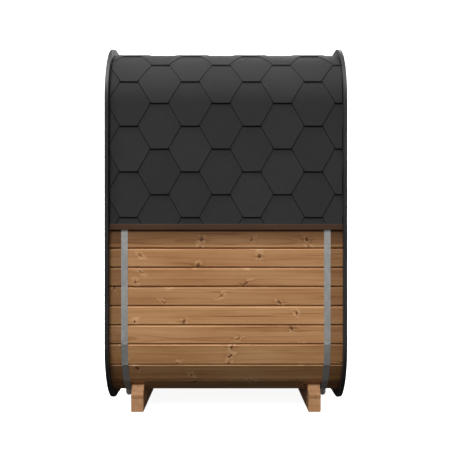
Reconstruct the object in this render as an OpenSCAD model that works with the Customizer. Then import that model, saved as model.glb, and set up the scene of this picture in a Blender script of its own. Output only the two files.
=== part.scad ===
// Cube sauna: a stave-built cabin with a rounded square section, closed by a plank wall at
// each end, held by steel straps and carried on two shaped cradle beams.
// Units are millimetres. X runs along the cabin, towards the door at its front. Z is up,
// and +Y is on the right of somebody who faces the door.
// The origin is on the ground, under the middle of the cabin.

/* [Cabin] */
// Length over the two end trims
cabin_length = 1470; // [1300:10:2400]
// Width over the staves
body_width = 1966; // [1700:2:2400]
// Height over the staves
body_height = 2159; // [2120:1:2400]
// Radius through the edges of the corner staves
corner_radius = 338; // [300:1:380]
// Thickness of the staves and end walls
stave_thickness = 42; // [28:1:50]
// Clear height under the floor staves
floor_clearance = 94; // [85:1:140]

/* [End trims] */
// Thickness of the trim boards along the cabin
trim_thickness = 22; // [15:1:40]
// How far the trims stand out beyond the staves
trim_overhang = 47; // [20:1:60]
// Width of the trim boards
trim_width = 95; // [80:1:120]

/* [Roofing] */
// Thickness of the felt and shingles
roofing_thickness = 14; // [8:1:30]
// Height of the roofing's lower edge above the ground
eaves_height = 1167; // [700:1:1500]
// Height of the eaves batten's face
batten_height = 35; // [20:1:60]
// Thickness of the eaves batten
batten_thickness = 12; // [6:1:14]

/* [Straps] */
// Width of the steel straps
strap_width = 40; // [30:1:50]
// Distance from the cabin's middle to the middle of a strap
strap_offset = 619; // [600:1:640]
// Thickness of the steel straps
strap_thickness = 1.5; // [1:0.5:3]
// How far the strap's lugs hang below the staves
lug_drop = 41; // [35:1:60]
// Gap between the two lugs that a bolt draws together
lug_gap = 60; // [40:1:90]
// Radius of the tension bolts
bolt_radius = 5; // [3:0.5:6]

/* [Cradles] */
// Width of a cradle beam along the cabin
cradle_width = 77; // [60:1:80]
// Distance from the cabin's middle to a cradle's inner face
cradle_offset = 512; // [300:1:515]
// Distance from a cradle's end face to the outside of the cabin's side
cradle_inset = 78; // [70:1:110]
// Height of a cradle's upright end face
cradle_end_height = 106; // [60:1:112]

/* [Door] */
// Width of the doorway in the front wall
doorway_width = 760; // [640:10:900]
// Height of the doorway's head above the ground
doorway_top = 2052; // [1900:1:2080]
// Height of the doorway's foot above the ground
doorway_foot = 182; // [180:1:220]
// Face width of the door frame
frame_width = 40; // [30:1:60]
// Depth of the door frame along the cabin
frame_depth = 60; // [56:1:80]
// Thickness of the door leaf
leaf_thickness = 36; // [28:1:40]
// Gap between the leaf and its frame
leaf_gap = 3; // [2:1:5]

/* [Hidden] */

wood = "peru";
black = "#2b2b2d";
felt = "#3a3a3c";
steel = "silver";

corner_staves = 4;                         // staves that turn each corner
turn = 90 / corner_staves;                 // angle between neighbouring corner staves
half_length = cabin_length / 2 - trim_thickness;
half_width = body_width / 2;
floor_z = floor_clearance;                 // underside of the floor staves
top_z = floor_clearance + body_height;     // top of the ceiling staves
centre_y = half_width - corner_radius;     // centre lines of the four corner curves
low_z = floor_z + corner_radius;
high_z = top_z - corner_radius;
wall_x = half_length - 90;                 // middle plane of an end wall
wall_in = wall_x - stave_thickness / 2;
trim_radius = corner_radius + trim_overhang;
smooth = 96;                               // facets of a full circle of trim or roofing
eps = 1;                                   // how far a cutting shape runs past what it cuts

// ---- The section through the staves, in the Y-Z plane ----

// Direction in which corner point k moves when the staves are made thicker. Points 0 and
// corner_staves join a flat wall, and so turn by half as much as the points between them.
function mitre(k) = k == 0 ? turn / 4 : k == corner_staves ? 90 - turn / 4 : k * turn;
function half_turn(k) = k == 0 || k == corner_staves ? turn / 4 : turn / 2;
// Point k of the lower right corner, moved outwards by d. It turns from the side wall at
// k = 0 to the floor at k = corner_staves.
function low(k, d) = let (m = mitre(k), s = d / cos(half_turn(k)))
    [centre_y + corner_radius * cos(k * turn) + s * cos(m),
     low_z - corner_radius * sin(k * turn) - s * sin(m)];
function low_run(d, k0, k1) = [for (k = [k0 : k0 < k1 ? 1 : -1 : k1]) low(k, d)];
function to_left(points) = [for (p = points) [-p[0], p[1]]];
function to_top(points) = [for (p = points) [p[0], low_z + high_z - p[1]]];
function reversed(points) = [for (i = [len(points) - 1 : -1 : 0]) points[i]];
// The whole closed outline, moved outwards by d.
function outline(d) = let (
        right = low_run(d, 0, corner_staves),
        bottom = concat(right, to_left(reversed(right))))
    concat(bottom, reversed(to_top(bottom)));
// Height of the lower corner's outer face at distance y from the cabin's middle.
function face_z(y) = let (
        k = max([for (i = [0 : corner_staves - 1]) low(i, 0)[0] >= y ? i : 0]),
        a = low(k, 0),
        b = low(k + 1, 0))
    a[1] + (a[0] - y) / (a[0] - b[0]) * (b[1] - a[1]);

// Extrudes a Y-Z outline along X, from x0 to x1.
module along_x(x0, x1) {
    translate([x0, 0, 0]) rotate([90, 0, 90]) linear_extrude(x1 - x0) children();
}
module block(x0, x1, y0, y1, z0, z1) {
    translate([x0, y0, z0]) cube([x1 - x0, y1 - y0, z1 - z0]);
}
// Quarter of a round plate in the +Y +Z quadrant of the Y-Z plane.
module quarter_plate(radius) {
    intersection() {
        circle(r = radius, $fn = smooth);
        square(radius + eps);
    }
}
module on_left() { mirror([0, 1, 0]) children(); }
module at_back() { mirror([1, 0, 0]) children(); }
module upside_down() { translate([0, 0, low_z + high_z]) mirror([0, 0, 1]) children(); }

// ---- Stave shell. The panels meet on the bevels between neighbouring staves. ----

module staves(points) {
    color(wood) along_x(-half_length, half_length) polygon(points);
}
module side_wall() {
    staves(concat([low(0, -stave_thickness), low(0, 0)], to_top([low(0, 0), low(0, -stave_thickness)])));
}
module floor_panel() {
    edge = [low(corner_staves, -stave_thickness), low(corner_staves, 0)];
    staves(concat(edge, to_left(reversed(edge))));
}
module ceiling_panel() {
    upside_down() floor_panel();
}
module corner_shell() {
    staves(concat(low_run(0, 0, corner_staves), low_run(-stave_thickness, corner_staves, 0)));
}

// ---- End walls, let in between the staves ----

module end_panel() {
    along_x(wall_in, wall_in + stave_thickness) polygon(outline(-stave_thickness));
}
module back_wall() {
    color(wood) at_back() end_panel();
}
module front_wall_side() {
    color(wood) intersection() {
        end_panel();
        block(wall_in - eps, wall_in + stave_thickness + eps, doorway_width / 2, half_width, 0, top_z);
    }
}
module front_wall_band(z0, z1) {
    color(wood)
        block(wall_in, wall_in + stave_thickness, -doorway_width / 2, doorway_width / 2, z0, z1);
}

// ---- Door, closed in its frame and hung on the right ----

frame_face = wall_x + frame_depth / 2;
leaf_face = frame_face - 6;                // the leaf lies a little behind the frame's face
leaf_half = doorway_width / 2 - frame_width - leaf_gap;
leaf_foot = doorway_foot + frame_width + leaf_gap;
leaf_top = doorway_top - frame_width - leaf_gap;
stop_width = 12;                           // lip that the leaf closes against

module door_frame() {
    color(wood) difference() {
        block(frame_face - frame_depth, frame_face,
            -doorway_width / 2, doorway_width / 2, doorway_foot, doorway_top);
        frame_hole(leaf_face - leaf_thickness, frame_face + eps, 0);
        frame_hole(frame_face - frame_depth - eps, leaf_face - leaf_thickness + eps, stop_width);
    }
}
module frame_hole(x0, x1, lip) {
    side = doorway_width / 2 - frame_width - lip;
    block(x0, x1, -side, side, doorway_foot + frame_width + lip, doorway_top - frame_width - lip);
}
module door_leaf() {
    color(wood)
        block(leaf_face - leaf_thickness, leaf_face, -leaf_half, leaf_half, leaf_foot, leaf_top);
}

hinge_inset = 200;                         // from the leaf's top and foot to a hinge's middle
hinge_height = 100;
hinge_plate = 3;
hinge_reach = 55;                          // length of the plate on the leaf
knuckle_radius = 7;
// A plate on the leaf and one on the frame, joined by the knuckle in front of the gap.
module hinge(z) {
    hinge_y = leaf_half + leaf_gap / 2;
    knuckle_x = frame_face + knuckle_radius;
    z0 = z - hinge_height / 2;
    z1 = z + hinge_height / 2;
    union() {
        translate([knuckle_x, hinge_y, z0]) cylinder(r = knuckle_radius, h = hinge_height, $fn = 32);
        block(leaf_face, leaf_face + hinge_plate, hinge_y - hinge_reach, leaf_half, z0, z1);
        block(leaf_face, knuckle_x, leaf_half - hinge_plate, leaf_half, z0, z1);
        block(frame_face, frame_face + hinge_plate, hinge_y, hinge_y + frame_width * 0.8, z0, z1);
    }
}
module door_hinges() {
    color(steel)
        for (z = [leaf_foot + hinge_inset, (leaf_foot + leaf_top) / 2, leaf_top - hinge_inset]) hinge(z);
}

handle_length = 420;
handle_height = 1120;                      // middle of a handle above the ground
handle_width = 34;
handle_depth = 24;
handle_gap = 34;                           // clear space behind a handle's bar
handle_inset = 80;                         // from the leaf's free edge
post_radius = 11;
post_inset = 60;                           // from a bar's end to its post
// A bar on two posts, standing off a face at x = 0 towards +X.
module handle() {
    union() {
        translate([handle_gap, -handle_width / 2, -handle_length / 2])
            cube([handle_depth, handle_width, handle_length]);
        for (side = [-1, 1]) translate([0, 0, side * (handle_length / 2 - post_inset)])
            rotate([0, 90, 0]) cylinder(r = post_radius, h = handle_gap + handle_depth / 2, $fn = 32);
    }
}
module door_handles() {
    color(wood) translate([0, handle_inset - leaf_half, handle_height]) {
        translate([leaf_face, 0, 0]) handle();
        translate([leaf_face - leaf_thickness, 0, 0]) at_back() handle();
    }
}

// ---- End trims, drawn at the front ----

module trim_bottom() {
    z0 = floor_z - trim_overhang;
    color(black)
        block(half_length, half_length + trim_thickness, -centre_y, centre_y, z0, z0 + trim_width);
}
module trim_top() {
    upside_down() trim_bottom();
}
module trim_uprights() {
    edge = half_width + trim_overhang;
    color(black) for (side = [0, 1]) mirror([0, side, 0])
        block(half_length, half_length + trim_thickness, edge - trim_width, edge, low_z, high_z);
}
module trim_corner() {
    along_x(half_length, half_length + trim_thickness) translate([centre_y, high_z]) difference() {
        quarter_plate(trim_radius);
        circle(r = trim_radius - trim_width, $fn = smooth);
    }
}
module trim_corners() {
    color(black) for (side = [0, 1]) mirror([0, side, 0]) {
        trim_corner();
        upside_down() trim_corner();
    }
}

// ---- Roofing, laid over the staves and the straps ----

strap_x0 = strap_offset - strap_width / 2;
strap_x1 = strap_offset + strap_width / 2;
// The space that the staves and the two straps take up.
module under_roofing() {
    along_x(-half_length - eps, half_length + eps) polygon(outline(0));
    along_x(strap_x0, strap_x1) polygon(outline(strap_thickness));
    along_x(-strap_x1, -strap_x0) polygon(outline(strap_thickness));
}
module roofing(y0, y1, z0, z1) {
    color(felt) difference() {
        block(-half_length, half_length, y0, y1, z0, z1);
        under_roofing();
    }
}
module roof_top() {
    roofing(-centre_y, centre_y, top_z - eps, top_z + roofing_thickness);
}
module roof_side() {
    roofing(half_width - eps, half_width + roofing_thickness, eaves_height, high_z);
}
module roof_corner() {
    color(felt) difference() {
        along_x(-half_length, half_length) translate([centre_y, high_z])
            quarter_plate(corner_radius + roofing_thickness);
        under_roofing();
    }
}
module eaves_batten() {
    color(wood) difference() {
        block(-half_length, half_length, half_width - eps, half_width + batten_thickness,
            eaves_height - batten_height, eaves_height);
        under_roofing();
    }
}

// ---- Straps, drawn at the front. A bolt under each lower corner draws them tight. ----

lug_y = centre_y + 0.3 * corner_radius;    // outer face of the staves' strap at its lug
lug_radius = strap_width / 2;
bolt_z = face_z(lug_y) - lug_drop + lug_radius;
bolt_reach = 22;                           // how far a bolt runs past its lugs
nut_radius = 9;
nut_thickness = 7;
bolt_hole = bolt_radius + 0.5;

// A strap between the outer faces of the staves and a line one strap's thickness outside.
module strap_run(points, outer_points) {
    along_x(strap_x0, strap_x1) polygon(concat(points, reversed(outer_points)));
}
// A strap's end, bent down to a round tip with a hole for the bolt.
module lug(y) {
    top = face_z(y) - strap_thickness / 2;
    translate([strap_offset, y, 0]) difference() {
        union() {
            translate([0, 0, bolt_z]) rotate([-90, 0, 0])
                cylinder(r = lug_radius, h = strap_thickness, $fn = 48);
            translate([-lug_radius, 0, bolt_z]) cube([strap_width, strap_thickness, top - bolt_z]);
        }
        translate([0, -eps, bolt_z]) rotate([-90, 0, 0])
            cylinder(r = bolt_hole, h = strap_thickness + 2 * eps, $fn = 32);
    }
}
// Lower corner points on the side wall's side of a lug at distance y.
function beyond(y, d) = [for (k = [0 : corner_staves]) if (low(k, 0)[0] > y) low(k, d)];
// The part of a strap's line from the lug at y round the top to the lug on the other side.
function over_top(y, d) = let (
        start = [y, face_z(y) - d],
        right = concat([start], reversed(beyond(y, d)), to_top(low_run(d, 0, corner_staves))))
    concat(right, to_left(reversed(right)));
function under_floor(y, d) = let (right = [[y, face_z(y) - d], low(corner_staves, d)])
    concat(right, to_left(reversed(right)));

module strap() {
    color(steel) union() {
        strap_run(over_top(lug_y, 0), over_top(lug_y, strap_thickness));
        for (side = [0, 1]) mirror([0, side, 0]) lug(lug_y);
    }
}
module strap_bottom() {
    inner_y = lug_y - lug_gap;
    color(steel) union() {
        strap_run(under_floor(inner_y, 0), under_floor(inner_y, strap_thickness));
        for (side = [0, 1]) mirror([0, side, 0]) lug(inner_y - strap_thickness);
    }
}
// Threaded bolts through both lugs, with a nut outside each.
module strap_bolts() {
    inner_y = lug_y - lug_gap - strap_thickness;
    outer_y = lug_y + strap_thickness;
    color(steel) for (side = [0, 1]) mirror([0, side, 0])
        translate([strap_offset, 0, bolt_z]) rotate([-90, 0, 0]) union() {
            translate([0, 0, inner_y - bolt_reach])
                cylinder(r = bolt_radius, h = outer_y - inner_y + 2 * bolt_reach, $fn = 32);
            translate([0, 0, outer_y]) cylinder(r = nut_radius, h = nut_thickness, $fn = 6);
            translate([0, 0, inner_y - nut_thickness]) cylinder(r = nut_radius, h = nut_thickness, $fn = 6);
        }
}

// ---- Cradles, drawn at the front ----

cradle_slope = 60;                         // how far the sloping part of an end runs in
// The beam's top fits the floor and the lower corner staves. Its end slopes in above the
// upright end face.
module cradle() {
    end_y = half_width - cradle_inset;
    seat_y = end_y - cradle_slope;
    seat = [for (k = [0 : corner_staves]) if (low(k, 0)[0] < seat_y) low(k, 0)];
    right = concat([[end_y, 0], [end_y, cradle_end_height], [seat_y, face_z(seat_y)]], seat);
    color(wood) along_x(cradle_offset, cradle_offset + cradle_width)
        polygon(concat(right, to_left(reversed(right))));
}

on_left() side_wall();  // left_wall
side_wall();  // right_wall
floor_panel();  // floor
ceiling_panel();  // ceiling
on_left() corner_shell();  // lower_left_corner
corner_shell();  // lower_right_corner
on_left() upside_down() corner_shell();  // upper_left_corner
upside_down() corner_shell();  // upper_right_corner
on_left() front_wall_side();  // front_wall_left
front_wall_side();  // front_wall_right
front_wall_band(doorway_top, top_z - stave_thickness);  // front_wall_head
front_wall_band(floor_z + stave_thickness, doorway_foot);  // front_wall_foot
back_wall();
door_frame();
door_leaf();
door_hinges();
door_handles();
trim_top();  // front_trim_top
trim_bottom();  // front_trim_bottom
trim_uprights();  // front_trim_uprights
trim_corners();  // front_trim_corners
at_back() trim_top();  // back_trim_top
at_back() trim_bottom();  // back_trim_bottom
at_back() trim_uprights();  // back_trim_uprights
at_back() trim_corners();  // back_trim_corners
roof_top();
on_left() roof_corner();  // roof_left_corner
roof_corner();  // roof_right_corner
on_left() roof_side();  // roof_left_side
roof_side();  // roof_right_side
on_left() eaves_batten();  // left_eaves_batten
eaves_batten();  // right_eaves_batten
strap();  // front_strap
strap_bottom();  // front_strap_bottom
strap_bolts();  // front_strap_bolts
at_back() strap();  // back_strap
at_back() strap_bottom();  // back_strap_bottom
at_back() strap_bolts();  // back_strap_bolts
cradle();  // front_cradle
at_back() cradle();  // back_cradle
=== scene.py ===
"""Looks of a cube sauna: staves, shingles, trims, straps, cradles, end walls and door round the
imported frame. Lengths are in metres. The cabin lies along X, its door end is +X, and Z is up."""

import math
import random

import bmesh
import bpy
from mathutils import Matrix, Vector


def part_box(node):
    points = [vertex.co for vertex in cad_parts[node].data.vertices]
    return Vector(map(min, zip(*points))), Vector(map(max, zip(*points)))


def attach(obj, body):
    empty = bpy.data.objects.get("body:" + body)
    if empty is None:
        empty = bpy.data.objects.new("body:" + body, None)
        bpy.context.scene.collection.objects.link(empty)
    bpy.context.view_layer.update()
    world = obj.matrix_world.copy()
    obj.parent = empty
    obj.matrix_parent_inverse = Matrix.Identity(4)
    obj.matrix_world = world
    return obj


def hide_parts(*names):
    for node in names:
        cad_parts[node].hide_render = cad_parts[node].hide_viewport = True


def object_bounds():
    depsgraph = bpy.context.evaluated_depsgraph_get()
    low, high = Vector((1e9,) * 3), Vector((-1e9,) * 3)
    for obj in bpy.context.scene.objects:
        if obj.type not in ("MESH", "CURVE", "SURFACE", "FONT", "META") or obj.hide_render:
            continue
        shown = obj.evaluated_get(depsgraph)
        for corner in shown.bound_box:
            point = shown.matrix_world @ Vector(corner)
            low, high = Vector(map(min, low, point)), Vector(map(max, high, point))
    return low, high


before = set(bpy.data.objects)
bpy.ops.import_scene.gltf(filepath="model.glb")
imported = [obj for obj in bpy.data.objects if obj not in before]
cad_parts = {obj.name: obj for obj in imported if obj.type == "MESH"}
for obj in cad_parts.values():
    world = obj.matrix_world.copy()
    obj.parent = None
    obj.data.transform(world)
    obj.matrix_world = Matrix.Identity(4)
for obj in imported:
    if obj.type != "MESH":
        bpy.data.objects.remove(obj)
cad_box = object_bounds()
draw = random.Random(7)

# ---- Sizes taken from the frame ----

MM = 0.001
floor_low, floor_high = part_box("floor")
wall_low, wall_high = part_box("left_wall")
roof_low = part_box("roof_left_side")[0]
batten_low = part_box("left_eaves_batten")[0]
trim_low, trim_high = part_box("front_trim_top")
upright_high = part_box("front_trim_uprights")[1]
strap_low, strap_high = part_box("front_strap")
cradle_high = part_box("front_cradle")[1]
end_low, end_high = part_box("back_wall")
frame_low, frame_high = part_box("door_frame")
leaf_low, leaf_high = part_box("door_leaf")

half_length = floor_high.x
half_width = -wall_low.y
centre_y = floor_high.y  # centre lines of the corner curves
low_z = wall_low.z
high_z = wall_high.z
floor_z = floor_low.z
top_z = high_z + low_z - floor_z
corner_radius = low_z - floor_z
stave_depth = floor_high.z - floor_low.z
roofing = wall_low.y - roof_low.y  # thickness of the roofing
eaves_z = roof_low.z
trim_width = trim_high.z - trim_low.z
trim_radius = trim_high.z - high_z
strap_x = (strap_low.x + strap_high.x) / 2
CORNER_STAVES = 4
TURN = math.radians(90 / CORNER_STAVES)

# ---- Nodes of a material ----


class Shader:
    """Builds a material's nodes. Values are numbers, colours or sockets."""

    def __init__(self, name):
        self.material = bpy.data.materials.new(name)
        self.material.use_nodes = True
        self.tree = self.material.node_tree
        self.tree.nodes.clear()
        self.surface = self.tree.nodes.new("ShaderNodeBsdfPrincipled")
        out = self.tree.nodes.new("ShaderNodeOutputMaterial")
        self.tree.links.new(self.surface.outputs[0], out.inputs[0])

    def put(self, socket, value):
        if isinstance(value, bpy.types.NodeSocket):
            self.tree.links.new(value, socket)
        elif socket.type == "RGBA" and len(value) == 3:
            socket.default_value = (*value, 1)
        else:
            socket.default_value = value

    def add(self, kind, inputs=(), **settings):
        node = self.tree.nodes.new("ShaderNode" + kind)
        for key, value in settings.items():
            setattr(node, key, value)
        for key, value in dict(inputs).items():
            self.put(node.inputs[key], value)
        return node

    def math(self, operation, a, b=0.0, clamp=False):
        node = self.add("Math", {0: a, 1: b}, operation=operation, use_clamp=clamp)
        return node.outputs[0]

    def total(self, *terms):
        """The sum of (value, weight) terms."""
        parts = [self.math("MULTIPLY", value, weight) for value, weight in terms]
        added = parts[0]
        for part in parts[1:]:
            added = self.math("ADD", added, part)
        return added

    def distance(self, a, b, stretch=1.0):
        """How far the point a, b is from 0, with b's square multiplied by stretch."""
        square = self.math("MULTIPLY", self.math("MULTIPLY", b, b), stretch)
        return self.math("SQRT", self.math("ADD", self.math("MULTIPLY", a, a), square))

    def vector(self, operation, a, b):
        return self.add("VectorMath", {0: a, 1: b}, operation=operation).outputs[0]

    def noise(self, where, scale, detail=2.0, rough=0.5, distortion=0.0):
        inputs = {"Vector": where, "Scale": scale, "Detail": detail}
        inputs |= {"Roughness": rough, "Distortion": distortion}
        return self.add("TexNoise", inputs).outputs[0]

    def streaks(self, where, rates, *settings):
        """Noise with its own scale along each axis."""
        return self.noise(self.vector("MULTIPLY", where, rates), 1.0, *settings)

    def ramp(self, value, *stops):
        """Colours or grey levels at places from 0 to 1."""
        node = self.add("ValToRGB", {0: value})
        marks = node.color_ramp.elements
        while len(marks) < len(stops):
            marks.new(0.5)
        for mark, (place, colour) in zip(marks, stops):
            mark.position = place
            grey = isinstance(colour, (int, float))
            mark.color = (colour,) * 3 + (1,) if grey else (*colour, 1)
        return node.outputs[0]

    def mix(self, factor, a, b, blend="MIX"):
        node = self.add("Mix", data_type="RGBA", blend_type=blend, clamp_factor=True)
        for socket, value in ((0, factor), (6, a), (7, b)):
            self.put(node.inputs[socket], value)
        return node.outputs[2]

    def span(self, value, low, high, to_low=0.0, to_high=1.0):
        """Maps low..high to to_low..to_high, smoothly and clamped."""
        keys = {"Value": value, "From Min": low, "From Max": high, "To Min": to_low, "To Max": to_high}
        return self.add("MapRange", keys, interpolation_type="SMOOTHSTEP").outputs[0]

    def finish(self, colour, roughness, bump=None, depth=0.0005, **fixed):
        self.put(self.surface.inputs["Base Color"], colour)
        self.put(self.surface.inputs["Roughness"], roughness)
        for key, value in fixed.items():
            self.put(self.surface.inputs[key.replace("_", " ")], value)
        if bump is not None:
            node = self.add("Bump", {"Height": bump, "Distance": depth, "Strength": 1.0})
            self.put(self.surface.inputs["Normal"], node.outputs["Normal"])
        return self.material


def srgb(red, green, blue):
    """A colour given as 0..255 display values, in linear light."""
    def linear(v):
        v /= 255
        return v / 12.92 if v <= 0.04045 else ((v + 0.055) / 1.055) ** 2.4
    return linear(red), linear(green), linear(blue)


# ---- Materials ----

KNOT_CELL = (340 * MM, 52 * MM, 1.0)  # spacing of the knots' places, along and across a board
KNOT_SIZES = (3.5 * MM, 9 * MM)  # of the smallest and the largest knot
KNOT_SLANT = 2.6  # range of the tangents of their slants
RINGS = 210.0  # growth rings in a metre
BROAD_RINGS = 60.0  # their slower changes of colour in a metre
RING_WANDER = 35 * MM  # how far the rings wander along a board
RING_PUSH = 10 * MM  # how far a knot pushes them aside
EAVES_SHADE = (0.40, 0.62)  # brightness just under a batten, and further down
EAVES_REACH = 80 * MM  # from the first to the second of these
EAVES_END = (84 * MM, 100 * MM)  # where the shade under a batten ends
TRIM_SHADE = 0.62  # brightness between a strap and the end trim
TRIM_SHADE_EDGE = 12 * MM  # half of the width of that shade's edge


def knots_in(s, place, along, across, share):
    """Knots in loose rows across a board, each with a random size and slant. Gives the knots, how
    hard they push the rings aside, the pale halos round them, which are grain figure painted paler as a
    painted highlight, and the dark whiskers of the grain."""
    flat = s.add("CombineXYZ", {0: along, 1: across, 2: 0.0}).outputs[0]
    inputs = {"Vector": s.vector("DIVIDE", flat, KNOT_CELL), "Scale": 1.0, "Randomness": 0.42}
    spot = s.add("TexVoronoi", inputs, voronoi_dimensions="2D")
    chance = s.add("SeparateColor", {0: spot.outputs["Color"]}).outputs
    shown = s.span(chance[0], 1 - share, 1.02 - share)
    size = s.span(chance[2], 0.0, 1.0, *KNOT_SIZES)
    centre = s.vector("MULTIPLY", spot.outputs["Position"], KNOT_CELL)
    away, dy, _ = s.add("SeparateXYZ", {0: s.vector("SUBTRACT", flat, centre)}).outputs
    slant = s.math("MULTIPLY", s.math("SUBTRACT", chance[1], 0.5), KNOT_SLANT)
    dx = s.math("ADD", away, s.math("MULTIPLY", dy, slant))
    rag = s.streaks(place, (45.0, 120.0, 120.0), 3.0, 0.6)
    far = s.math("DIVIDE", s.distance(dx, dy, 0.4), size)
    far = s.math("MULTIPLY", far, s.math("ADD", rag, 0.5))
    knot = s.math("MULTIPLY", s.span(far, 0.7, 1.3, 1.0, 0.0), shown)
    push = s.math("MULTIPLY", s.math("EXPONENT", s.math("MULTIPLY", far, -0.42)), shown)

    # The grain dives in round a knot and leaves dark whiskers. On one side it is painted pale: grain
    # figure with a painted highlight where the cross grain would catch light.
    halo = s.span(s.distance(dx, dy, 0.1), 6 * MM, 36 * MM, 1.0, 0.0)
    halo = s.math("SUBTRACT", halo, knot, clamp=True)
    swirl = s.streaks(place, (38.0, 55.0, 55.0), 3.0, 0.6, 0.8)
    halo = s.math("MULTIPLY", s.math("MULTIPLY", halo, shown), s.span(swirl, 0.40, 0.60))
    thin = s.span(s.math("ABSOLUTE", dy), 0.6 * MM, 3.2 * MM, 1.0, 0.0)
    reach = s.span(s.math("ABSOLUTE", away), 12 * MM, 55 * MM, 1.0, 0.0)
    bent = s.math("MULTIPLY", s.math("MULTIPLY", thin, reach), s.span(rag, 0.35, 0.6))
    whisker = s.math("MULTIPLY", s.math("MULTIPLY", bent, shown), s.span(chance[2], 0.3, 0.7))
    return knot, push, halo, whisker


def wood(name, pale, mid, dark, knot_share, paint_shade=False, roughness=0.5):
    """Softwood. The grain attribute gives a point's place in its log: along it, and from its pith."""
    s = Shader(name)
    place = s.add("Attribute", attribute_name="grain").outputs["Vector"]
    tone = s.add("Attribute", attribute_name="tone").outputs["Fac"]
    along, across, deep = s.add("SeparateXYZ", {0: place}).outputs
    knot, push, halo, whisker = knots_in(s, place, along, across, knot_share)

    # Growth rings round the pith, wandering slowly along the board and pushed aside by knots.
    wander = s.streaks(place, (0.9, 3.0, 3.0), 1.0)
    radius = s.total((s.distance(across, deep), 1.0), (wander, RING_WANDER), (push, RING_PUSH))
    ring = s.math("FRACT", s.math("MULTIPLY", radius, RINGS))
    ring = s.ramp(ring, (0.0, 0.0), (0.55, 0.25), (0.9, 1.0), (1.0, 0.05))
    broad = s.add("CombineXYZ", {0: s.math("MULTIPLY", radius, BROAD_RINGS)}).outputs[0]
    broad = s.noise(broad, 1.0, 2.0)
    fibre = s.streaks(place, (5.0, 420.0, 420.0), 3.0, 0.6)
    cloud = s.streaks(place, (1.6, 9.0, 9.0), 3.0, 0.55)
    vein = s.span(s.streaks(place, (1.5, 75.0, 75.0), 2.0, 0.6), 0.60, 0.72)
    value = s.total((ring, 0.16), (broad, 0.50), (fibre, 0.16), (cloud, 0.50), (push, 0.22),
                    (halo, -0.42), (whisker, 0.6), (vein, 0.24))

    colour = s.ramp(value, (0.40, pale), (0.66, mid), (0.95, dark))
    heart = tuple(0.5 * c for c in dark)
    colour = s.mix(s.math("MULTIPLY", knot, 0.85), colour, heart)
    level = s.span(tone, 0.0, 1.0, 0.9, 1.1)
    # Painted shade under the eaves and beside the end trims darkens the staves.
    if paint_shade:
        level = s.math("MULTIPLY", level, painted_eaves_trim_shade(s))
    # Darker wood, by its tone or by painted shade, is redder too.
    warm = [s.math("POWER", level, power) for power in (1.0, 1.12, 1.3)]
    shade = s.add("CombineColor", dict(enumerate(warm))).outputs[0]
    colour = s.mix(1.0, colour, shade, "MULTIPLY")
    rough = s.span(value, 0.2, 1.0, roughness - 0.06, roughness + 0.14)
    height = s.total((fibre, 0.6), (ring, -0.25), (knot, -0.5))
    return s.finish(colour, rough, height, 0.35 * MM, Specular_IOR_Level=0.35)


def painted_eaves_trim_shade(s):
    """Painted shade on the staves: darker under the eaves and beside the end trims."""
    place = s.add("TexCoord").outputs["Object"]
    x, _, z = s.add("SeparateXYZ", {0: place}).outputs
    drift = s.streaks(place, (3.0, 3.0, 9.0), 2.0)
    drift = s.math("MULTIPLY", s.math("SUBTRACT", drift, 0.5), 20 * MM)
    below = s.math("ADD", s.math("SUBTRACT", batten_low.z, z), drift)
    under = s.math("ADD", s.span(below, 0.0, EAVES_REACH, *EAVES_SHADE),
                   s.span(below, *EAVES_END, 0.0, 1 - EAVES_SHADE[1]))
    beside = s.span(s.math("ABSOLUTE", x), strap_x - TRIM_SHADE_EDGE, strap_x + TRIM_SHADE_EDGE,
                    1.0, TRIM_SHADE)
    return s.math("MULTIPLY", under, beside)


def black_paint():
    """Satin paint on a board, with its fibres just showing."""
    s = Shader("black_trim_paint")
    place = s.add("Attribute", attribute_name="grain").outputs["Vector"]
    streak = s.streaks(place, (6.0, 240.0, 240.0), 3.0, 0.6)
    cloud = s.noise(place, 7.0, 3.0)
    value = s.total((streak, 0.4), (cloud, 0.6))
    colour = s.ramp(value, (0.25, srgb(24, 24, 25)), (0.75, srgb(38, 38, 38)))
    return s.finish(colour, s.span(value, 0.2, 0.8, 0.42, 0.6), streak, 0.25 * MM)


def shingle():
    """Bitumen with mineral granules. Each tab has its own tone, and a tone below zero makes its edges
    near black: its cut sides are the bare core, and the sloped bands along the edges of its outer face
    are painted shade lines.
    """
    s = Shader("charcoal_shingle")
    place = s.add("TexCoord").outputs["Object"]
    tone = s.add("Attribute", attribute_name="tone").outputs["Fac"]
    grit = s.add("TexVoronoi", {"Vector": place, "Scale": 520.0})
    grey = s.add("SeparateColor", {0: grit.outputs["Color"]}).outputs[0]
    cloud = s.noise(place, 9.0, 4.0, 0.6)
    value = s.total((grey, 0.42), (cloud, 0.30), (tone, 0.22))
    colour = s.ramp(value, (0.1, srgb(30, 30, 30)), (0.5, srgb(42, 42, 43)), (0.9, srgb(57, 57, 58)))
    # Near black where the tone is below zero: bare cut sides, and painted shade lines on the sloped
    # edges.
    cut = s.span(tone, -0.6, -0.4, 1.0, 0.0)
    colour = s.mix(cut, colour, srgb(11, 11, 11))
    height = s.total((grit.outputs["Distance"], 1.0), (cloud, 0.6))
    return s.finish(colour, s.span(value, 0.0, 1.0, 0.72, 0.95), height, 0.6 * MM,
                    Specular_IOR_Level=0.35)


def steel(name, base, roughness, spangle):
    """Strip or fittings, with rolling marks and the faint patches of a zinc coat."""
    s = Shader(name)
    place = s.add("TexCoord").outputs["Object"]
    patch = s.add("TexVoronoi", {"Vector": place, "Scale": spangle})
    grey = s.add("SeparateColor", {0: patch.outputs["Color"]}).outputs[0]
    brush = s.streaks(place, (900.0, 12.0, 12.0), 2.0)
    cloud = s.noise(place, 6.0, 3.0)
    value = s.total((grey, 0.3), (brush, 0.35), (cloud, 0.35))
    low = tuple(0.78 * c for c in base)
    colour = s.ramp(value, (0.2, low), (0.8, base))
    return s.finish(colour, s.span(value, 0.0, 1.0, roughness - 0.08, roughness + 0.1), brush,
                    0.08 * MM, Metallic=0.75)


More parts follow.
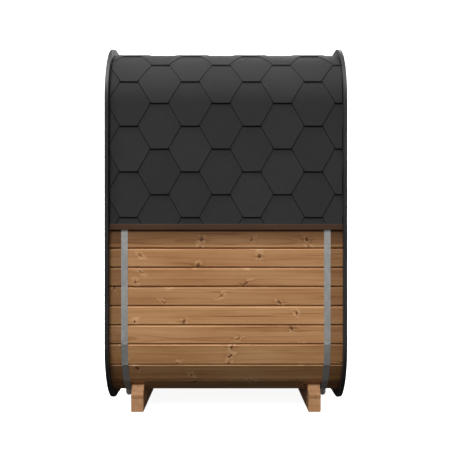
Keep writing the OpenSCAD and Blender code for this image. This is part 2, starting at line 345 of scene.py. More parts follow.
STAVE = wood("thermo_stave", srgb(207, 163, 119), srgb(184, 134, 87), srgb(133, 84, 46), 0.36, True)
PLANK = wood("thermo_plank", srgb(204, 161, 118), srgb(181, 133, 88), srgb(132, 85, 48), 0.32)
DOOR = wood("door_wood", srgb(186, 138, 92), srgb(162, 112, 68), srgb(118, 74, 40), 0.16, roughness=0.42)
CRADLE = wood("cradle_wood", srgb(194, 150, 110), srgb(176, 129, 88), srgb(138, 92, 54), 0.24)
BATTEN = wood("batten_wood", srgb(92, 62, 40), srgb(74, 47, 29), srgb(50, 31, 19), 0.1)
BLACK = black_paint()
SHINGLE = shingle()
ZINC = steel("zinc_strip", (0.66, 0.66, 0.64), 0.42, 60.0)
FITTING = steel("satin_fitting", (0.60, 0.60, 0.59), 0.32, 400.0)

# ---- Meshes with a grain ----


def link(obj):
    """Puts an object in the scene."""
    bpy.context.scene.collection.objects.link(obj)


class Pieces:
    """Collects the pieces of one object, each with its own grain and tone, into one mesh."""

    def __init__(self):
        self.points, self.faces, self.grain, self.tones = [], [], [], []

    def take(self, bm, place=Matrix(), tone=None, shift=None, along=None):
        """Adds a small mesh, drawn with its length along X, and frees it. shift moves its grain,
        and along gives a grain place for a point where the piece isn't straight."""
        shift = shift or log_shift()
        tone = draw.random() if tone is None else tone
        first = len(self.points)
        turn = -1 if place.determinant() < 0 else 1  # so that a mirrored piece isn't inside out
        bm.verts.index_update()
        for v in bm.verts:
            self.points.append(place @ v.co)
            self.grain.append((along(v.co) if along else v.co) + shift)
        for f in bm.faces:
            self.faces.append([first + v.index for v in f.verts][::turn])
            self.tones.append(tone)
        bm.free()

    def make(self, name, material, *nodes, slot, smooth=12):
        """Makes the object that stands for the nodes. Edges up to smooth degrees look rounded."""
        mesh = bpy.data.meshes.new(name)
        mesh.from_pydata(self.points, [], self.faces)
        mesh.attributes.new("grain", "FLOAT_VECTOR", "POINT")
        mesh.attributes["grain"].data.foreach_set("vector", [c for g in self.grain for c in g])
        mesh.attributes.new("tone", "FLOAT", "CORNER")
        corners = [t for t, f in zip(self.tones, self.faces) for _ in f]
        mesh.attributes["tone"].data.foreach_set("value", corners)
        mesh.polygons.foreach_set("use_smooth", [True] * len(self.faces))
        mesh.set_sharp_from_angle(angle=math.radians(smooth))
        mesh.materials.append(material)
        mesh.validate()
        obj = bpy.data.objects.new(name, mesh)
        link(obj)
        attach(obj, "root")
        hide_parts(*nodes)


def log_shift():
    """A random place in the log for a new board's grain."""
    return Vector((draw.uniform(0, 40), draw.uniform(-0.05, 0.05), draw.uniform(0.015, 0.11)))


def join_rows(bm, near, far):
    """Faces between two closed rows of points."""
    for i in range(len(near)):
        j = (i + 1) % len(near)
        bm.faces.new((near[i], near[j], far[j], far[i]))


def round_off(bm, edges, width, segments=2):
    """Eases edges over a width. One segment makes a plain bevel."""
    bmesh.ops.bevel(bm, geom=edges, offset=width, segments=segments, profile=0.5, affect="EDGES",
                    clamp_overlap=True)


def sharp_edges(bm, degrees):
    """Edges whose two faces turn by more than an angle."""
    limit = math.radians(degrees)
    return [e for e in bm.edges if len(e.link_faces) == 2 and e.calc_face_angle(0) > limit]


def prism(profile, x0, x1, ease, segments=2):
    """A solid with a Y-Z profile, running along X, with its edges eased."""
    bm = bmesh.new()
    near, far = [[bm.verts.new((x, y, z)) for y, z in profile] for x in (x0, x1)]
    bm.faces.new(near[::-1])
    bm.faces.new(far)
    join_rows(bm, near, far)
    bmesh.ops.recalc_face_normals(bm, faces=bm.faces)
    round_off(bm, bm.edges[:], ease, segments)
    return bm


def boxed(low, high, ease):
    """A board between two corners, with its edges eased."""
    profile = [(low[1], low[2]), (high[1], low[2]), (high[1], high[2]), (low[1], high[2])]
    return prism(profile, low[0], high[0], ease)


# ---- Staves ----

STAVE_PITCH = 117 * MM
CHAMFER = 7 * MM  # along the board's face
CHAMFER_DEPTH = 7 * MM
JOINT = 1.4 * MM  # half of the open joint between two boards
JOINT_DEPTH = 12 * MM  # from the face to the tongue that closes the joint
STAVE_EASE = 0.7 * MM
END_LEAN = math.tan(TURN / 4)  # of an edge where a flat row meets a corner
MITRE_LEAN = math.tan(TURN / 2)  # of the edges between a corner's staves
NEAR = 1 * MM  # lengths under this are left out


def stave(width, bevel_low, bevel_high):
    """A stave's section: Y runs from its foot edge, 0, to width, and Z from its outer face, 0,
    inwards to -stave_depth. A bevel is the tangent of the angle by which an edge leans in."""
    d, c, j, t = stave_depth, CHAMFER_DEPTH, JOINT, JOINT_DEPTH
    left = [(bevel_low * d, -d), (bevel_low * t, -t), (bevel_low * t + j, -t)]
    left += [(bevel_low * c + j, -c), (j + CHAMFER, 0)]
    right = [(width - j - CHAMFER, 0), (width - bevel_high * c - j, -c)]
    right += [(width - bevel_high * t - j, -t), (width - bevel_high * t, -t)]
    right.append((width - bevel_high * d, -d))
    return left + right


def lay_stave(pieces, start, end, bevel_low, bevel_high):
    """Lays a stave whose outer face runs from start to end, two points of the Y-Z section,
    with the outside of the cabin on the left of that run."""
    run = end - start
    width = run.length
    run.normalize()
    turn = Matrix(((1, 0, 0, 0), (0, run.x, -run.y, start.x), (0, run.y, run.x, start.y), (0, 0, 0, 1)))
    profile = stave(width, bevel_low, bevel_high)
    pieces.take(prism(profile, -half_length, half_length, STAVE_EASE, 1), turn)


def corner_point(k):
    """Point k of the lower left corner, from the floor, 0, to the side wall."""
    a = math.radians(90) - k * TURN
    return Vector((-centre_y - corner_radius * math.cos(a), low_z - corner_radius * math.sin(a)))


def section(point, right, top):
    """The same point on the cabin's right side, or at its top."""
    y, z = point
    return Vector((-y if right else y, low_z + high_z - z if top else z))


def lay_between(pieces, a, b, lean_a, lean_b, right, top):
    """A stave from a to b on the lower left, or its mirror image on another corner."""
    a, b = section(a, right, top), section(b, right, top)
    if right == top:
        a, b, lean_a, lean_b = b, a, lean_b, lean_a
    lay_stave(pieces, b, a, lean_b, lean_a)


def side_staves(right):
    """A side wall's staves, from the lower corner up. The last one takes what is left."""
    pieces = Pieces()
    z = low_z
    while z < high_z - NEAR:
        step = min(STAVE_PITCH, high_z - z)
        lean_a = END_LEAN if z == low_z else 0
        lean_b = END_LEAN if z + step > high_z - NEAR else 0
        a, b = Vector((-half_width, z)), Vector((-half_width, z + step))
        lay_between(pieces, a, b, lean_a, lean_b, right, False)
        z += step
    return pieces


def flat_staves(top):
    """The floor's or the ceiling's staves."""
    pieces = Pieces()
    count = round(2 * centre_y / STAVE_PITCH)
    step = 2 * centre_y / count
    for i in range(count):
        a = Vector((-centre_y + i * step, floor_z))
        b = a + Vector((step, 0))
        lean_a = END_LEAN if i == 0 else 0
        lean_b = END_LEAN if i == count - 1 else 0
        lay_between(pieces, b, a, lean_b, lean_a, False, top)
    return pieces


def corner_staves(right, top):
    """A corner's staves, each turned from the last by the same angle."""
    pieces = Pieces()
    for k in range(CORNER_STAVES):
        lean_a = END_LEAN if k == 0 else MITRE_LEAN
        lean_b = END_LEAN if k == CORNER_STAVES - 1 else MITRE_LEAN
        lay_between(pieces, corner_point(k), corner_point(k + 1), lean_a, lean_b, right, top)
    return pieces


side_staves(False).make("left_wall_staves", STAVE, "left_wall", slot="stave_wood")
side_staves(True).make("right_wall_staves", STAVE, "right_wall", slot="stave_wood")
flat_staves(False).make("floor_staves", STAVE, "floor", slot="stave_wood")
flat_staves(True).make("ceiling_staves", STAVE, "ceiling", slot="stave_wood")
for level, top in (("lower", False), ("upper", True)):
    for side, right in (("left", False), ("right", True)):
        node = f"{level}_{side}_corner"
        corner_staves(right, top).make(node + "_staves", STAVE, node, slot="stave_wood")

# ---- End walls ----

PLANK_EDGE = 3 * MM  # bevel of a plank's long edges


def inner_corner():
    """The Y-Z outline inside the lower right corner's staves, from the floor up."""
    points = []
    for k in range(CORNER_STAVES + 1):
        angle = k * TURN
        mitre, lean = angle, TURN / 2
        if k in (0, CORNER_STAVES):
            mitre, lean = (TURN / 4 if k == 0 else angle - TURN / 4), TURN / 4
        depth = stave_depth / math.cos(lean)
        points.append((centre_y + corner_radius * math.sin(angle) - depth * math.sin(mitre),
                       low_z - corner_radius * math.cos(angle) + depth * math.cos(mitre)))
    return points


INNER = inner_corner()


def wall_foot(y):
    """Height of the end walls' lower edge at distance y from the middle, inside the staves."""
    y = abs(y)
    if y <= INNER[0][0]:
        return INNER[0][1]
    for (ya, za), (yb, zb) in zip(INNER, INNER[1:]):
        if y <= yb:
            return za + (zb - za) * (y - ya) / (yb - ya)
    return INNER[-1][1]


def wall_head(y):
    """Height of the end walls' upper edge, which mirrors the lower one."""
    return low_z + high_z - wall_foot(y)


def at(z):
    """A level edge, given like wall_foot as a function of y."""
    return lambda y: z


def corner_breaks(y0, y1):
    """Places between y0 and y1 where the wall's outline turns."""
    turns = [centre_y + corner_radius * math.sin(k * TURN) for k in range(CORNER_STAVES + 1)]
    found = [y for t in turns for y in (t, -t) if y0 + 2 * NEAR < y < y1 - 2 * NEAR]
    return sorted(found)


def plank(y0, y1, foot, head, x0, x1):
    """An upright plank between two heights, given as functions of y, with its long edges bevelled."""
    ys = [y0 + JOINT / 2, *corner_breaks(y0, y1), y1 - JOINT / 2]
    outline = [(y, foot(y)) for y in ys] + [(y, head(y)) for y in reversed(ys)]
    bm = bmesh.new()
    near, far = [[bm.verts.new((z, y, -x)) for y, z in outline] for x in (x0, x1)]
    bm.faces.new(near[::-1])
    bm.faces.new(far)
    join_rows(bm, near, far)
    bmesh.ops.recalc_face_normals(bm, faces=bm.faces)
    rims = []
    for e in bm.edges:
        run = e.verts[0].co - e.verts[1].co
        if math.hypot(run.y, run.z) < 0.001 * MM:
            rims.append(e)
    round_off(bm, rims, PLANK_EDGE, 1)
    return bm


# Stands a piece up: what is drawn along X is upright, and what is drawn along -Z is along the cabin.
UPRIGHT = Matrix(((0, 0, -1, 0), (0, 1, 0, 0), (1, 0, 0, 0), (0, 0, 0, 1)))


def end_planks(y0, y1, foot, head, x0, x1, pitch=STAVE_PITCH, pieces=None):
    """Equal planks, of about the pitch in width, from y0 to y1."""
    pieces = pieces or Pieces()
    count = max(1, round((y1 - y0) / pitch))
    step = (y1 - y0) / count
    for i in range(count):
        pieces.take(plank(y0 + i * step, y0 + (i + 1) * step, foot, head, x0, x1), UPRIGHT)
    return pieces


inner_half = half_width - stave_depth
door_half = frame_high.y
back_x = (end_low.x, end_high.x)
front_x = (-end_high.x, -end_low.x)
END_WALLS = (
    ("back_wall", -inner_half, inner_half, wall_foot, wall_head, back_x),
    ("front_wall_left", -inner_half, -door_half, wall_foot, wall_head, front_x),
    ("front_wall_right", door_half, inner_half, wall_foot, wall_head, front_x),
    ("front_wall_head", -door_half, door_half, at(frame_high.z), wall_head, front_x),
    ("front_wall_foot", -door_half, door_half, wall_foot, at(frame_low.z), front_x),
)
for node, y0, y1, foot, head, (x0, x1) in END_WALLS:
    end_planks(y0, y1, foot, head, x0, x1).make(node + "_planks", PLANK, node, slot="plank_wood")

# ---- Trims ----

TRIM_GAP = 0.05 * MM  # half of the joint between two trim boards
TRIM_EDGE = 2 * MM
TRIM_ARC_STEPS = 20
SCREW = 4 * MM
SCREW_PITCH = 300 * MM
SCREW_STAND = 0.3 * MM  # the boards' faces lie this much inside the heads

# Lay a piece drawn along X across the cabin, or upright, with its drawn Y along the cabin.
ACROSS = Matrix(((0, 1, 0, 0), (1, 0, 0, 0), (0, 0, 1, 0), (0, 0, 0, 1)))
UP_LONG = Matrix(((0, 1, 0, 0), (0, 0, 1, 0), (1, 0, 0, 0), (0, 0, 0, 1)))


def arc_piece(inner, outer, a0, a1, x0, x1):
    """A curved board in the Y-Z plane round the origin, between two angles and two radii."""
    bm = bmesh.new()
    rings = []
    for i in range(TRIM_ARC_STEPS + 1):
        a = a0 + (a1 - a0) * i / TRIM_ARC_STEPS
        c, s = math.cos(a), math.sin(a)
        rings.append([bm.verts.new((x, r * c, r * s)) for x, r in
                      ((x0, inner), (x0, outer), (x1, outer), (x1, inner))])
    for p, q in zip(rings, rings[1:]):
        join_rows(bm, p, q)
    bm.faces.new(rings[0][::-1])
    bm.faces.new(rings[-1])
    bmesh.ops.recalc_face_normals(bm, faces=bm.faces)
    round_off(bm, sharp_edges(bm, 57), TRIM_EDGE)
    return bm


def turned(profile, sides=24, closed=True):
    """A body of revolution round X. The profile is (x, radius) from one end to the other."""
    bm = bmesh.new()
    rows = []
    for x, r in profile:
        turns = range(sides) if r else range(1)
        rows.append([bm.verts.new((x, r * math.cos(2 * math.pi * i / sides),
                                   r * math.sin(2 * math.pi * i / sides))) for i in turns])
    for p, q in zip(rows, rows[1:]):
        for i in range(sides):
            j = (i + 1) % sides
            ring = [p[i % len(p)], p[j % len(p)], q[j % len(q)], q[i % len(q)]]
            bm.faces.new(list(dict.fromkeys(ring)))
    for row, turn in ((rows[0], -1), (rows[-1], 1)):
        if closed and len(row) > 1:
            bm.faces.new(row[::turn])
    bmesh.ops.recalc_face_normals(bm, faces=bm.faces)
    return bm


def screw_head(r):
    """A countersunk head of radius r with a socket, standing just proud of X = 0."""
    return turned([(-2 * MM, 0), (-2 * MM, 0.42 * r), (0.1 * MM, 0.48 * r), (0.25 * MM, 0.75 * r),
                   (0.05 * MM, r), (-1 * MM, 0.8 * r), (-3 * MM, 0.4 * r), (-3 * MM, 0)], 16)


def facing(x, y, z, front=True):
    """Places a piece drawn along X at a point, pointing to the front or to the back."""
    turn = Matrix() if front else Matrix.Rotation(math.pi, 4, "Z")
    return Matrix.Translation((x, y, z)) @ turn


def trim_x(front):
    """The trim boards' limits along the cabin."""
    low, high = trim_low.x, trim_high.x - SCREW_STAND
    return (low, high) if front else (-high, -low)


def trim_screw(pieces, front, y, z):
    """A screw in the outer face of a trim board."""
    x = trim_x(front)[1 if front else 0]
    pieces.take(screw_head(SCREW), facing(x, y, z, front))


def trim_straight(front, name, spans):
    """Straight trim boards, each given by its Y and Z limits, with their grain along the longer."""
    pieces = Pieces()
    x0, x1 = trim_x(front)
    for y0, y1, z0, z1 in spans:
        level = y1 - y0 > z1 - z0
        if level:
            pieces.take(boxed((y0 + TRIM_GAP, x0, z0), (y1 - TRIM_GAP, x1, z1), TRIM_EDGE), ACROSS)
        else:
            pieces.take(boxed((z0 + TRIM_GAP, x0, y0), (z1 - TRIM_GAP, x1, y1), TRIM_EDGE), UP_LONG)
        length = max(y1 - y0, z1 - z0)
        count = round(length / SCREW_PITCH)
        for i in range(count):
            along = (i + 0.5) * length / count
            if level:
                trim_screw(pieces, front, y0 + along, (z0 + z1) / 2)
            else:
                trim_screw(pieces, front, (y0 + y1) / 2, z0 + along)
    pieces.make(name + "_board", BLACK, name, slot="trim_black")


def trim_corners(front, name):
    """The four quarter rings of an end trim, with three screws in each."""
    pieces = Pieces()
    x0, x1 = trim_x(front)
    middle = trim_radius - trim_width / 2
    gap = TRIM_GAP / middle
    quarter = math.pi / 2
    first = {(True, True): 0, (False, True): 1, (False, False): 2, (True, False): 3}
    for (right, top), turns in first.items():
        a = turns * quarter
        centre = (centre_y if right else -centre_y, high_z if top else low_z)
        bm = arc_piece(trim_radius - trim_width, trim_radius, a + gap, a + quarter - gap, x0, x1)
        place = Matrix.Translation((0, *centre))
        pieces.take(bm, place, along=lambda p: Vector(
            (math.atan2(p.z, p.y) * middle, math.hypot(p.y, p.z), p.x)))
        for part in (1 / 6, 1 / 2, 5 / 6):
            b = a + part * quarter
            trim_screw(pieces, front, centre[0] + middle * math.cos(b), centre[1] + middle * math.sin(b))
    pieces.make(name + "_boards", BLACK, name, slot="trim_black")


for end, front in (("front", True), ("back", False)):
    high, low = trim_high.z, floor_z + top_z - trim_high.z
    edge = upright_high.y
    trim_straight(front, end + "_trim_top", [(-centre_y, centre_y, high - trim_width, high)])
    trim_straight(front, end + "_trim_bottom", [(-centre_y, centre_y, low, low + trim_width)])
    uprights = [(-edge, trim_width - edge, low_z, high_z), (edge - trim_width, edge, low_z, high_z)]
    trim_straight(front, end + "_trim_uprights", uprights)
    trim_corners(front, end + "_trim_corners")

# ---- Shingles ----

COURSE = 139 * MM  # exposed height of a course
TAB_PITCH = 375 * MM  # from tab to tab in a course
TAB_FOOT = 107 * MM  # width of a tab's lower edge
TAB_SLANT = 80 * MM  # how far each slanted edge runs out
FIRST_COURSE = 38.6 * MM  # from the eaves to the first whole course
FIRST_TAB = -593 * MM  # middle of the first tab of that course
TAB_THICK = 4 * MM
TAB_ROWS, STRIP_ROWS = 7, 6  # rows of faces, which follow the roof's curve
TAB_OFFCUT = 4 * MM  # cut away where only a tab's slanted edge is on the roof
SLOT_END = COURSE + 10 * MM  # upper end of the slots between the tabs
STRIP_END = 2 * COURSE + 14 * MM  # upper edge of a course
DARK_SLOPE_WIDTH = 4.5 * MM  # width of the slope along a tab's edge, which is painted near black as a shade line
CUT_THICK = 0.2 * MM  # what is left of the thickness at that edge
BARE_CORE_AND_SHADE_LINE = -1.0  # tone of a bare cut side, and of a sloped edge painted near black as a shade line
TAB_HEIGHT = roofing - 0.2 * MM  # outer face of a tab's lower edge above the staves
roof_end = half_length - 0.5 * MM
rise = high_z - eaves_z
bend = (corner_radius + roofing) * math.pi / 2
half_roof = rise + bend + centre_y


def on_roof(s, h):
    """The Y-Z point of the left half of the roof, at s from the eaves and h above the staves."""
    if s <= rise:
        return -half_width - h, eaves_z + s
    if s < rise + bend:
        a = (s - rise) / (corner_radius + roofing)
        r = corner_radius + h
        return -centre_y - r * math.cos(a), high_z + r * math.sin(a)
    return -centre_y + s - rise - bend, top_z + h


def course_height(u):
    """Height of a course's outer face at u above its lower edge: each course lies on the last."""
    return TAB_HEIGHT - TAB_THICK * u / COURSE


class Course:
    """One course of tabs on a side of the roof, -1 or 1. Its faces are (points, tone) pairs."""

    def __init__(self, number, side):
        self.foot = FIRST_COURSE + number * COURSE
        self.low = max(0.0, -self.foot)
        self.high = min(STRIP_END, half_roof - self.foot)
        self.side = side
        self.faces = []

    def corner(self, x, u, drop=0.0):
        """The point at x and at u above the lower edge, drop below the outer face."""
        y, z = on_roof(min(max(self.foot + u, 0), half_roof), course_height(u) - drop)
        return x, self.side * -y, z

    def quad(self, a, b, tone, flip=False):
        """A face between two rows of two corners, a and b."""
        points = [a[0], a[1], b[1], b[0]]
        self.faces.append((points if (self.side < 0) != flip else points[::-1], tone))


def tab_reach(middle, u):
    """The ends of a tab at u above its lower edge, cut off where the roof ends."""
    half = TAB_FOOT / 2 + TAB_SLANT * min(1, u / COURSE)
    return max(middle - half, -roof_end), min(middle + half, roof_end)


def lay_tab(course, middle, tone):
    """A tab's free part: its outer face, its sloped edges painted near black as shade lines, its bare
    cut sides and its underside.
    """
    outside = max(abs(middle) - roof_end - TAB_FOOT / 2, 0)
    u0 = max(course.low, outside / TAB_SLANT * COURSE + (TAB_OFFCUT if outside else 0))
    u1 = min(SLOT_END, course.high)
    x0, x1 = tab_reach(middle, u1)
    if u1 - u0 < 2 * DARK_SLOPE_WIDTH or x1 - x0 < 3 * DARK_SLOPE_WIDTH:
        return
    whole = u0 == 0
    drop = TAB_THICK - CUT_THICK
    start = DARK_SLOPE_WIDTH if whole else u0
    us = [start + (u1 - start) * i / TAB_ROWS for i in range(TAB_ROWS + 1)]
    rows = []
    for u in us:
        x0, x1 = tab_reach(middle, u)
        inset = min(DARK_SLOPE_WIDTH, (x1 - x0) / 3)
        rows.append([course.corner(x0, u, drop), course.corner(x0 + inset, u),
                     course.corner(x1 - inset, u), course.corner(x1, u, drop)])
    if whole:
        x0, x1 = tab_reach(middle, 0)
        xs = (x0, x0 + DARK_SLOPE_WIDTH, x1 - DARK_SLOPE_WIDTH, x1)
        rows.insert(0, [course.corner(x, 0, drop) for x in xs])
        us.insert(0, 0)
    under = [[course.corner(x, u, TAB_THICK) for x in tab_reach(middle, u)] for u in us]
    for i in range(len(us) - 1):
        a, b, low, high = rows[i], rows[i + 1], under[i], under[i + 1]
        for j in range(3):
            # The sloped faces along a tab's edges are painted near black, as shade lines.
            shade_line_slope = j != 1 or whole and i == 0
            course.quad(a[j:j + 2], b[j:j + 2], BARE_CORE_AND_SHADE_LINE if shade_line_slope else tone)
        course.quad(low, high, tone, True)
        course.quad((a[0], low[0]), (b[0], high[0]), BARE_CORE_AND_SHADE_LINE)
        course.quad((a[3], low[1]), (b[3], high[1]), BARE_CORE_AND_SHADE_LINE, True)
    course.quad(under[0], (rows[0][0], rows[0][3]), BARE_CORE_AND_SHADE_LINE)


def lay_strip(course, middle, tone):
    """The part above a tab, which the next courses cover."""
    x0, x1 = max(middle - TAB_PITCH / 2, -roof_end), min(middle + TAB_PITCH / 2, roof_end)
    if x1 - x0 < NEAR:
        return
    start = max(SLOT_END, course.low)
    us = [start + (course.high - start) * i / STRIP_ROWS for i in range(STRIP_ROWS + 1)]
    for pair in zip(us, us[1:]):
        outer = [[course.corner(x, u) for x in (x0, x1)] for u in pair]
        inner = [[course.corner(x, u, TAB_THICK) for x in (x0, x1)] for u in pair]
        course.quad(*outer, tone)
        course.quad(*inner, tone, True)


def lay_course(number, side):
    """The faces of a course. Its tabs lie over the slots of the course below."""
    course = Course(number, side)
    x = FIRST_TAB + (0 if number % 2 == 0 else TAB_PITCH / 2)
    x -= TAB_PITCH * math.ceil((x + half_length) / TAB_PITCH)
    tabs = []
    while x - TAB_FOOT / 2 - TAB_SLANT < roof_end:
        tabs.append((x, draw.random()))
        x += TAB_PITCH
    for middle, tone in tabs:
        lay_tab(course, middle, tone)
    if course.high > SLOT_END:
        for middle, tone in tabs:
            lay_strip(course, middle, tone)
    return course.faces


def shingles(side, name, *nodes):
    """Courses from two below the first whole one, which only show their tops, to the ridge."""
    faces = []
    number = -2
    while FIRST_COURSE + number * COURSE < half_roof - 20 * MM:
        faces += lay_course(number, side)
        number += 1
    bm = bmesh.new()
    tones = bm.faces.layers.float.new("tone")
    for points, tone in faces:
        f = bm.faces.new([bm.verts.new(p) for p in points])
        f[tones] = tone
    bmesh.ops.remove_doubles(bm, verts=bm.verts, dist=0.05 * MM)
    bmesh.ops.recalc_face_normals(bm, faces=bm.faces)
    pieces = Pieces()
    bm.faces.ensure_lookup_table()
    shades = [f[tones] for f in bm.faces]
    pieces.take(bm, shift=Vector((0, 0, 0)))
    pieces.tones = shades
    pieces.make(name, SHINGLE, *nodes, slot="roof_shingle", smooth=20)


shingles(-1, "left_shingles", "roof_left_side", "roof_left_corner")
shingles(1, "right_shingles", "roof_right_side", "roof_right_corner")

# ---- Ridge cap ----

CAP_WIDTH = 250 * MM
CAP_EXPOSED = 143 * MM  # about what shows of each piece
CAP_LIFT = 3 * MM  # how far a piece climbs over the one before it
CAP_THICK = 3 * MM
CAP_STAND = 1 * MM  # outer face of a piece's covered end above the roofing


def ridge_cap():
    """Overlapping flat pieces along the middle of the roof, each with its edges sloped and painted near
    black as shade lines, and its cut sides bare.
    """
    pieces = Pieces()
    base = top_z + roofing
    count = round(2 * roof_end / CAP_EXPOSED)
    exposed = 2 * roof_end / count
    half = CAP_WIDTH / 2
    for number in range(count):
        start = number * exposed - roof_end
        end = min(start + 2 * exposed, roof_end)
        bm = bmesh.new()
        rims = []
        for inset, drop in ((0, CAP_THICK), (0, CAP_THICK - CUT_THICK), (DARK_SLOPE_WIDTH, 0)):
            corners = ((start + inset, inset - half), (end - inset, inset - half),
                       (end - inset, half - inset), (start + inset, half - inset))
            rim = []
            for x, y in corners:
                lift = CAP_LIFT * (1 - (x - start) / (2 * exposed))
                rim.append(bm.verts.new((x, y, base + lift + CAP_STAND - drop)))
            rims.append(rim)
        bm.faces.new(rims[0][::-1])
        for low, high in zip(rims, rims[1:]):
            join_rows(bm, low, high)
        bm.faces.new(rims[-1])
        tone = draw.random()
        # All but the outer face are near black: bare cut sides, and sloped edges painted as shade lines.
        pieces.take(bm, tone=BARE_CORE_AND_SHADE_LINE)
        pieces.tones[-1] = tone  # of the outer face, which was made last
    pieces.make("ridge_cap", SHINGLE, "roof_top", slot="roof_shingle")


ridge_cap()

# ---- Eaves battens ----


def eaves_batten(side):
    """The board under the roofing's lower edge, along the whole cabin."""
    node = side + "_eaves_batten"
    low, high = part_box(node)
    pieces = Pieces()
    pieces.take(boxed((-roof_end, low.y, low.z), (roof_end, high.y, high.z), 1.5 * MM))
    pieces.make(side + "_batten_board", BATTEN, node, slot="batten_wood")


eaves_batten("left")
eaves_batten("right")

# ---- Cradles ----

LAMINATE = 42 * MM
GROOVE = 0.6 * MM  # half of the gap between two boards
CRADLE_EDGE = 2.2 * MM
PAINTED_LIGHT_FOOT_TONE, PAINTED_SHADE_HEAD_TONE = 0.85, 0.15  # painted light and shade: tones of the boards in a beam's paler lower half and darker upper half


def cut_level(bm, height, keep_above):
    """Cuts a solid at a height, keeps the part above it or below it, and closes that part."""
    geometry = bm.verts[:] + bm.edges[:] + bm.faces[:]
    cut = bmesh.ops.bisect_plane(bm, geom=geometry, plane_co=(0, 0, height), plane_no=(0, 0, 1),
                                 clear_inner=keep_above, clear_outer=not keep_above)
    rim = [e for e in cut["geom_cut"] if isinstance(e, bmesh.types.BMEdge)]
    bmesh.ops.edgenet_fill(bm, edges=rim)


def cradle(node):
    """A beam glued up from flat boards, with its ends sloped and its top fitted to the staves."""
    bm = bmesh.new()
    bm.from_mesh(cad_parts[node].data)
    bmesh.ops.remove_doubles(bm, verts=bm.verts, dist=0.1 * MM)
    bmesh.ops.dissolve_limit(bm, angle_limit=math.radians(1), verts=bm.verts, edges=bm.edges)
    # Turned so that its length lies along X, as a board's grain does.
    for v in bm.verts:
        v.co = Vector((v.co.y, -v.co.x, v.co.z))
    place = Matrix(((0, -1, 0, 0), (1, 0, 0, 0), (0, 0, 1, 0), (0, 0, 0, 1)))
    pieces = Pieces()
    base = 0.0
    while base < cradle_high.z:
        layer = bm.copy()
        if base > 0:
            cut_level(layer, base + GROOVE, True)
        if base + LAMINATE - GROOVE < cradle_high.z:
            cut_level(layer, base + LAMINATE - GROOVE, False)
        bmesh.ops.recalc_face_normals(layer, faces=layer.faces)
        round_off(layer, sharp_edges(layer, 17), CRADLE_EDGE)
        # The lower boards are painted paler and the upper ones darker, as painted light and shade.
        tone = PAINTED_LIGHT_FOOT_TONE if base < cradle_high.z / 2 else PAINTED_SHADE_HEAD_TONE
        pieces.take(layer, place, tone)
        base += LAMINATE
    bm.free()
    pieces.make(node + "_beam", CRADLE, node, slot="cradle_wood")


cradle("front_cradle")
cradle("back_cradle")

# ---- Door ----

STILE = 96 * MM  # width of the leaf's side boards and rails
FOOT_RAIL = 1.4 * STILE
PANEL_INSET = 8 * MM
PANEL_PITCH = 96 * MM
RAIL_GAP = 0.3 * MM
LEAF_GAP = 3 * MM
STOP = 12 * MM  # lip that the leaf closes against
DOOR_EDGE = 2 * MM
HANDLE_BAR = 24 * MM
HANDLE_EDGE = 6 * MM
HANDLE_POST = 11 * MM  # radius
HANDLE_POST_Z = 150 * MM  # of the posts, from the bar's middle
HINGE = 100 * MM  # height
HINGE_KNUCKLES = 5
HINGE_PLATE = 3 * MM
HINGE_RADIUS = 7 * MM
HINGE_EDGE = 0.8 * MM
HINGE_SCREW = 4.2 * MM
HINGE_SCREW_Z = 32 * MM  # from screw to screw
frame_width = frame_high.y - leaf_high.y - LEAF_GAP


def post(pieces, low, high, edge):
    """An upright board between two corners."""
    pieces.take(boxed((low[2], low[1], -high[0]), (high[2], high[1], -low[0]), edge), UPRIGHT)


def rail(pieces, low, high, edge):
    """A level board across the cabin, between two corners."""
    pieces.take(boxed((low[1], low[0], low[2]), (high[1], high[0], high[2]), edge), ACROSS)


def door_leaf():
    """Two side boards, three rails, and planks let in between them."""
    x0, x1 = leaf_low.x, leaf_high.x
    pieces = Pieces()
    inner = leaf_low.y + STILE, leaf_high.y - STILE
    for y0, y1 in ((leaf_low.y, inner[0]), (inner[1], leaf_high.y)):
        post(pieces, (x0, y0, leaf_low.z), (x1, y1, leaf_high.z), DOOR_EDGE)
    middle = (leaf_low.z + leaf_high.z) / 2
    rails = [(leaf_low.z, leaf_low.z + FOOT_RAIL), (middle - STILE / 2, middle + STILE / 2)]
    rails.append((leaf_high.z - STILE, leaf_high.z))
    for z0, z1 in rails:
        rail(pieces, (x0, inner[0] + RAIL_GAP, z0), (x1, inner[1] - RAIL_GAP, z1), DOOR_EDGE)
    for (_, z0), (z1, _) in zip(rails, rails[1:]):
        end_planks(*inner, at(z0), at(z1), x0 + PANEL_INSET, x1 - PANEL_INSET, PANEL_PITCH, pieces)
    pieces.make("door_leaf_boards", DOOR, "door_leaf", slot="door_wood")


def door_frame():
    """Posts, head and sill, each with the lip that stops the leaf."""
    pieces = Pieces()
    x0, x1 = frame_low.x, frame_high.x
    inner = frame_high.y - frame_width
    lip = inner - STOP
    lip_back = leaf_low.x - 1 * MM
    low, high = frame_low.z + frame_width, frame_high.z - frame_width
    for side in (-1, 1):
        y0, y1 = sorted((side * inner, side * frame_high.y))
        post(pieces, (x0, y0, frame_low.z), (x1, y1, frame_high.z), DOOR_EDGE)
        y0, y1 = sorted((side * lip, side * inner))
        post(pieces, (x0, y0, low), (lip_back, y1, high), DOOR_EDGE / 2)
    for z0, z1, lip_z in ((frame_low.z, low, low), (high, frame_high.z, high - STOP)):
        rail(pieces, (x0, -inner, z0), (x1, inner, z1), DOOR_EDGE)
        rail(pieces, (x0, -lip, lip_z), (lip_back, lip, lip_z + STOP), DOOR_EDGE / 2)
    pieces.make("door_frame_boards", DOOR, "door_frame", slot="door_wood")


